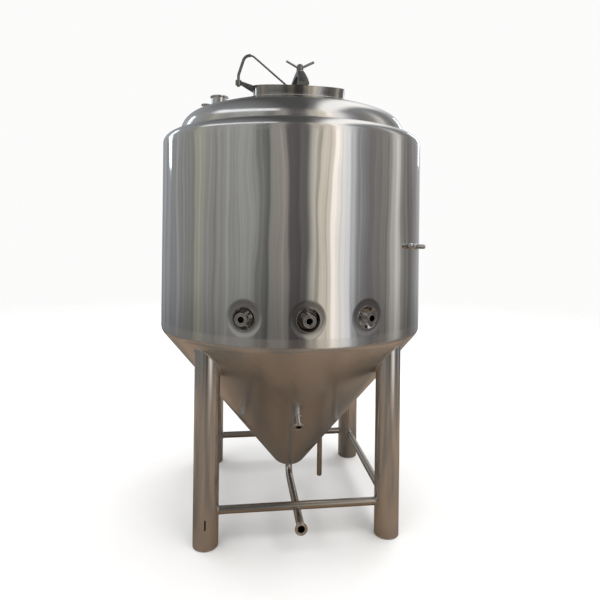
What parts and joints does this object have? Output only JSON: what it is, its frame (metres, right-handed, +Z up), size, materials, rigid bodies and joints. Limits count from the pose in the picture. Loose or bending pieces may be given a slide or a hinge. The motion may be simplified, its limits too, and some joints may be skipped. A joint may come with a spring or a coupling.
{
  "type": "conical fermenter",
  "caption": "Insulated conical fermenter of stainless steel on four tubular legs, with an oval top manway on a davit, sunken front ports and a bottom drain pipe.",
  "frame": {"origin": "on the floor, at the bottom centre of the whole object's box", "axes": "+Z up, -Y towards the front of the tank where the ports and the manway are, +X to the right seen from the front"},
  "size_m": [1.2, 1.227, 2.0031],
  "materials": {
    "satin_shell": "satin polished stainless sheet",
    "brushed_weld_band": "brushed weld dressing",
    "polished_steel": "polished stainless",
    "mill_finish": "mill finish stainless",
    "leg_tube": "polished tube",
    "davit_steel": "dull turned and bent bar",
    "bush_polymer": "turned bearing polymer",
    "gasket_silicone": "moulded silicone",
    "lagging_foam": "poured rigid foam"
  },
  "bodies": {
    "tank": {"outer_shell": "satin_shell", "cone_cladding": "satin_shell", "shoulder_ring": "brushed_weld_band", "port_collar_left": "brushed_weld_band", "port_collar_centre": "brushed_weld_band", "port_collar_right": "brushed_weld_band", "top_head": "polished_steel", "manway_neck": "polished_steel", "port_nozzle_left": "polished_steel", "port_nozzle_centre": "polished_steel", "port_nozzle_right": "polished_steel", "cone_nozzle": "polished_steel", "drain_pipe": "polished_steel", "drain_ferrule": "polished_steel", "breather_pipe": "polished_steel", "dosing_nozzle": "polished_steel", "cip_nozzle": "polished_steel", "thermowell": "polished_steel", "thermowell_boss": "polished_steel", "gland_nut": "polished_steel", "probe_head": "polished_steel", "inner_shell": "mill_finish", "inner_cone": "mill_finish", "cooling_jacket": "mill_finish", "cip_arm": "mill_finish", "spray_ball": "mill_finish", "leg_front_left": "leg_tube", "leg_front_right": "leg_tube", "leg_rear_right": "leg_tube", "leg_rear_left": "leg_tube", "foot_front_left": "leg_tube", "foot_front_right": "leg_tube", "foot_rear_right": "leg_tube", "foot_rear_left": "leg_tube", "brace_front": "leg_tube", "brace_right": "leg_tube", "brace_rear": "leg_tube", "brace_left": "leg_tube", "davit_bracket": "davit_steel", "insulation_shell": "lagging_foam", "insulation_cone": "lagging_foam"},
    "davit_swivel": {"davit_bush": "bush_polymer"},
    "door_carrier": {"davit_arm": "davit_steel", "davit_stay": "davit_steel", "davit_socket": "polished_steel", "manway_door": "polished_steel", "door_gasket": "gasket_silicone", "door_stud": "davit_steel"},
    "yoke_bridge": {"yoke": "davit_steel", "yoke_washer": "polished_steel"},
    "nut": {"wing_nut": "davit_steel"}
  },
  "joints": [
    {"name": "davit_swing", "type": "hinge", "parent": "tank", "child": "davit_swivel", "pos_m": [-0.262, -0.2325, 1.8786], "axis": [0, -0.1994, 0.9799], "range_deg": [-8, 8]},
    {"name": "door_drop", "type": "slide", "parent": "davit_swivel", "child": "door_carrier", "axis": [0, 0.1994, -0.9799], "range_m": [0, 0.016]},
    {"name": "yoke_swivel", "type": "hinge", "parent": "davit_swivel", "child": "yoke_bridge", "pos_m": [0, -0.2325, 1.8786], "axis": [0, -0.1994, 0.9799], "range_deg": [-12, 12]},
    {"name": "wing_nut_turn", "type": "hinge", "parent": "yoke_bridge", "child": "nut", "pos_m": [0, -0.2325, 1.8786], "axis": [0, -0.1994, 0.9799], "range_deg": [0, 1440]}
  ],
  "couplings": [
    {"joint": "wing_nut_turn", "follows": "door_drop", "rad_per_m": 1570.8}
  ]
}
